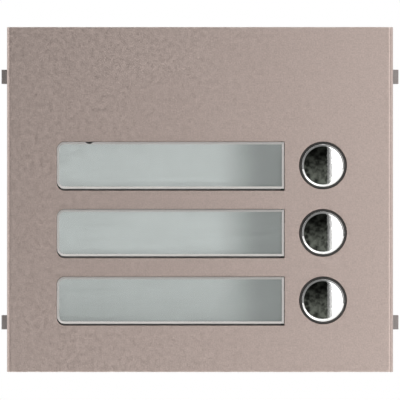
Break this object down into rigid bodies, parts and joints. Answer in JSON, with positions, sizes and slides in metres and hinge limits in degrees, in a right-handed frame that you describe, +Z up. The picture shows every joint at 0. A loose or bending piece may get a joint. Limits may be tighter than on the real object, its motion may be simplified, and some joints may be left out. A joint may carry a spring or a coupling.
{
  "type": "door entry call button module",
  "caption": "Flat metal door-entry module with clear-covered name windows beside round sprung push buttons, side lugs and a wired back.",
  "frame": {"origin": "on the flat back of the rear cover, behind the middle of the face plate", "axes": "+X to the right across the face, +Y out of the back towards the wall, +Z up; the buttons face -Y"},
  "size_m": [0.1238, 0.0314, 0.1072],
  "materials": {
    "anodised_aluminium": "satin anodised, fine grain",
    "grey_plastic": "fine moulded texture",
    "black_plastic": "satin",
    "clear_cover": "clear polished acrylic",
    "label_film": "silvery satin film",
    "diffuser": "white translucent",
    "chrome": "mirror polished",
    "black_rubber": "matte",
    "spring_steel": "drawn wire",
    "board": "solder mask",
    "led_resin": "moulded resin",
    "terminal_plastic": "moulded",
    "zinc_screw": "zinc plated"
  },
  "bodies": {
    "housing": {"face_plate": "anodised_aluminium", "plate_gasket": "black_rubber", "chassis": "grey_plastic", "rear_cover": "grey_plastic", "circuit_board": "board", "control_chip": "black_plastic", "terminal_block": "terminal_plastic", "link_header": "black_plastic", "light_guide_1": "diffuser", "switch_body_1": "black_plastic", "light_guide_2": "diffuser", "switch_body_2": "black_plastic", "light_guide_3": "diffuser", "switch_body_3": "black_plastic", "led_1": "led_resin", "led_2": "led_resin", "led_3": "led_resin", "led_4": "led_resin", "led_5": "led_resin", "led_6": "led_resin", "terminal_screw_1": "zinc_screw", "rear_screw_1": "zinc_screw", "board_screw_1": "zinc_screw", "terminal_screw_2": "zinc_screw", "rear_screw_2": "zinc_screw", "board_screw_2": "zinc_screw", "terminal_screw_3": "zinc_screw", "rear_screw_3": "zinc_screw", "board_screw_3": "zinc_screw", "terminal_screw_4": "zinc_screw", "rear_screw_4": "zinc_screw", "board_screw_4": "zinc_screw"},
    "button_1": {"button_cap_1": "chrome", "button_seal_1": "black_rubber", "button_spring_1": "spring_steel"},
    "plunger_1": {"switch_plunger_1": "black_plastic"},
    "label_1": {"label_cover_1": "clear_cover", "label_card_1": "label_film"},
    "button_2": {"button_cap_2": "chrome", "button_seal_2": "black_rubber", "button_spring_2": "spring_steel"},
    "plunger_2": {"switch_plunger_2": "black_plastic"},
    "label_2": {"label_cover_2": "clear_cover", "label_card_2": "label_film"},
    "button_3": {"button_cap_3": "chrome", "button_seal_3": "black_rubber", "button_spring_3": "spring_steel"},
    "plunger_3": {"switch_plunger_3": "black_plastic"},
    "label_3": {"label_cover_3": "clear_cover", "label_card_3": "label_film"}
  },
  "joints": [
    {"name": "button_1_press", "type": "slide", "parent": "housing", "child": "button_1", "axis": [0, 1, 0], "range_m": [0, 0.0015], "stiffness_N_per_m": 400, "springref_m": -0.004, "deforming": ["button_spring_1"]},
    {"name": "switch_1_travel", "type": "slide", "parent": "housing", "child": "plunger_1", "axis": [0, 1, 0], "range_m": [0, 0.0015]},
    {"name": "label_1_pull", "type": "slide", "parent": "housing", "child": "label_1", "axis": [0, -1, 0], "range_m": [0, 0.01]},
    {"name": "button_2_press", "type": "slide", "parent": "housing", "child": "button_2", "axis": [0, 1, 0], "range_m": [0, 0.0015], "stiffness_N_per_m": 400, "springref_m": -0.004, "deforming": ["button_spring_2"]},
    {"name": "switch_2_travel", "type": "slide", "parent": "housing", "child": "plunger_2", "axis": [0, 1, 0], "range_m": [0, 0.0015]},
    {"name": "label_2_pull", "type": "slide", "parent": "housing", "child": "label_2", "axis": [0, -1, 0], "range_m": [0, 0.01]},
    {"name": "button_3_press", "type": "slide", "parent": "housing", "child": "button_3", "axis": [0, 1, 0], "range_m": [0, 0.0015], "stiffness_N_per_m": 400, "springref_m": -0.004, "deforming": ["button_spring_3"]},
    {"name": "switch_3_travel", "type": "slide", "parent": "housing", "child": "plunger_3", "axis": [0, 1, 0], "range_m": [0, 0.0015]},
    {"name": "label_3_pull", "type": "slide", "parent": "housing", "child": "label_3", "axis": [0, -1, 0], "range_m": [0, 0.01]}
  ],
  "couplings": [
    {"joint": "switch_1_travel", "follows": "button_1_press", "ratio": 1},
    {"joint": "switch_2_travel", "follows": "button_2_press", "ratio": 1},
    {"joint": "switch_3_travel", "follows": "button_3_press", "ratio": 1}
  ]
}
